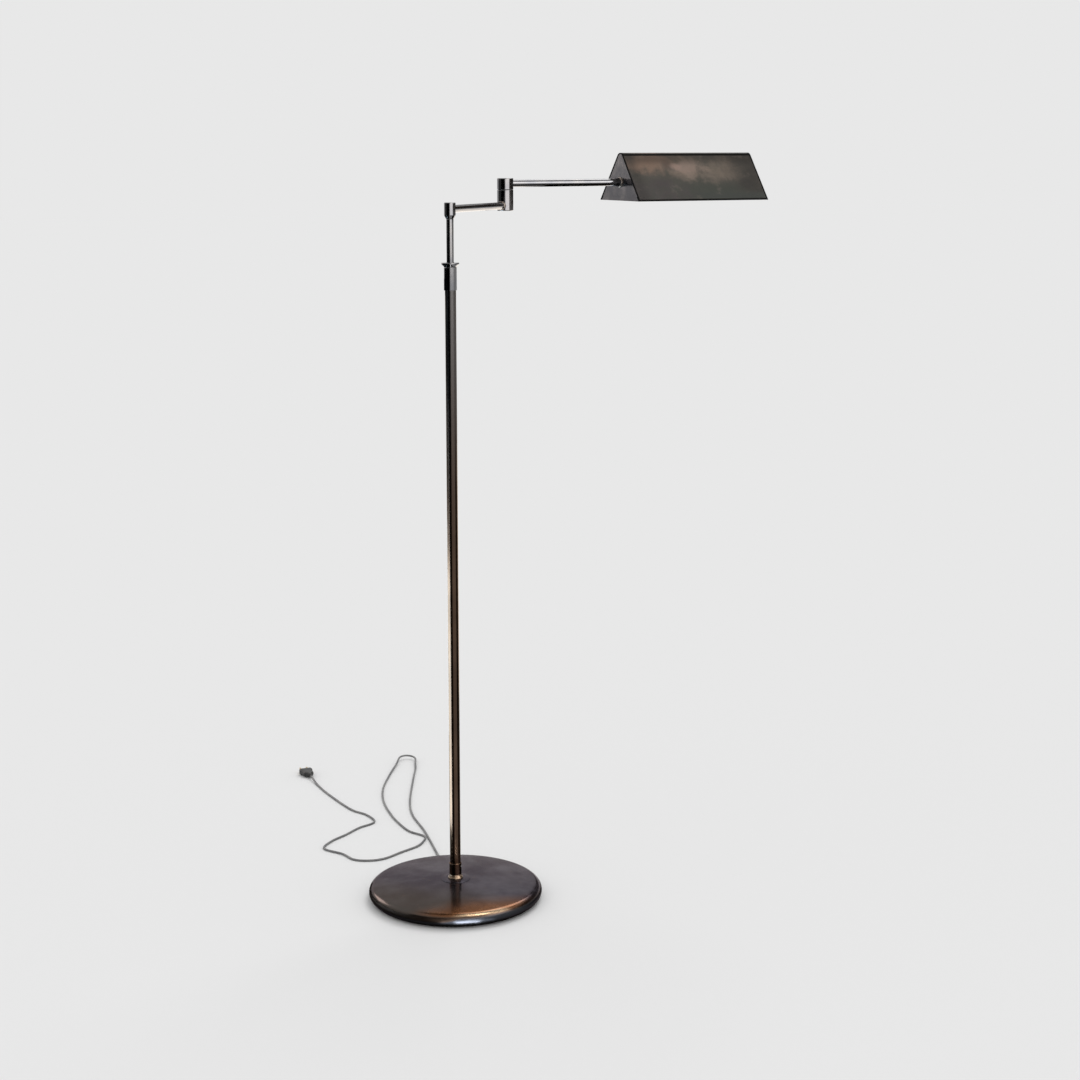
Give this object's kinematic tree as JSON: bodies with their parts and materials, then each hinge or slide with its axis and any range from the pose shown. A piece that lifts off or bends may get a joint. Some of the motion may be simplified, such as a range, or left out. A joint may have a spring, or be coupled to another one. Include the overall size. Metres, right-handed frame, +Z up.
{
  "type": "bridge floor lamp",
  "caption": "Bridge floor lamp with a round weighted base, a telescoping pole, a two-part swivel arm, a tent-shaped tilting metal shade and a mains cord.",
  "frame": {"origin": "on the floor, on the pole's axis, at the centre of the base's underside", "axes": "+Z up along the pole; +X from the elbow along the second arm to the shade; +Y to the side where the cord lies"},
  "size_m": [0.7566, 0.8774, 1.1853],
  "materials": {
    "dark_bronze": "semi-gloss dark bronze lacquer on steel",
    "gunmetal": "polished black nickel",
    "patina": "mottled dark patina, satin",
    "brass": "aged brass, satin",
    "steel": "plain zinc-plated steel",
    "aluminium": "bright",
    "iron": "rough casting",
    "felt": "felt",
    "nylon": "natural nylon",
    "black_plastic": "moulded, satin",
    "cord": "smooth sheath",
    "glass": "frosted"
  },
  "bodies": {
    "stand": {"base_cover": "dark_bronze", "base_weight": "iron", "base_felt": "felt", "base_nipple": "steel", "base_washer": "steel", "base_nut": "steel", "foot_escutcheon": "gunmetal", "foot_ring": "brass", "pole_ferrule": "dark_bronze", "ferrule_screw": "steel", "pole_tube": "dark_bronze", "pole_collar": "gunmetal", "collar_flange": "gunmetal", "guide_bush": "nylon", "inner_lead": "cord", "cord_bushing": "black_plastic", "cord": "cord", "plug_body": "black_plastic", "plug_blades": "brass"},
    "riser": {"riser_tube": "gunmetal", "riser_stop": "brass", "shoulder_stud": "steel", "shoulder_washer": "nylon", "shoulder_nut": "steel"},
    "arm_1": {"shoulder_knuckle": "gunmetal", "shoulder_cap": "gunmetal", "arm_1_tube": "gunmetal", "arm_1_lead": "cord", "arm_1_ring": "brass", "elbow_lower": "gunmetal", "elbow_plug": "gunmetal", "elbow_stud": "steel", "elbow_washer": "nylon", "elbow_lock_washer": "steel", "elbow_nut": "steel"},
    "arm_2": {"elbow_upper": "gunmetal", "elbow_cap": "gunmetal", "arm_2_tube": "gunmetal", "arm_2_lead": "cord", "arm_2_collar": "gunmetal", "shade_stud": "steel", "shade_nut": "steel"},
    "shade": {"shade_sheet": "patina", "shade_end_inner": "patina", "shade_end_outer": "patina", "shade_ring": "brass", "shade_washer": "nylon", "lamp_bracket": "steel", "holder_nipple": "steel", "holder_nut": "steel", "holder_cap": "black_plastic", "holder_body": "black_plastic", "bulb_cap": "aluminium", "bulb_glass": "glass"},
    "switch": {"switch_key": "black_plastic"}
  },
  "joints": [
    {"name": "height", "type": "slide", "parent": "stand", "child": "riser", "axis": [0, 0, 1], "range_m": [-0.06, 0.19]},
    {"name": "shoulder_swivel", "type": "hinge", "parent": "riser", "child": "arm_1", "pos_m": [0, 0, 1.0881], "axis": [0, 0, 1], "range_deg": [-170, 170]},
    {"name": "elbow_swivel", "type": "hinge", "parent": "arm_1", "child": "arm_2", "pos_m": [0.15445, 0.12067, 1.128], "axis": [0, 0, 1], "range_deg": [-122, 198]},
    {"name": "shade_tilt", "type": "hinge", "parent": "arm_2", "child": "shade", "pos_m": [0.36645, 0.12067, 1.1377], "axis": [1, 0, 0], "range_deg": [-95, 95]},
    {"name": "switch_turn", "type": "hinge", "parent": "shade", "child": "switch", "pos_m": [0.40855, 0.12067, 1.1247], "axis": [0, 0, 1], "continuous": true}
  ]
}
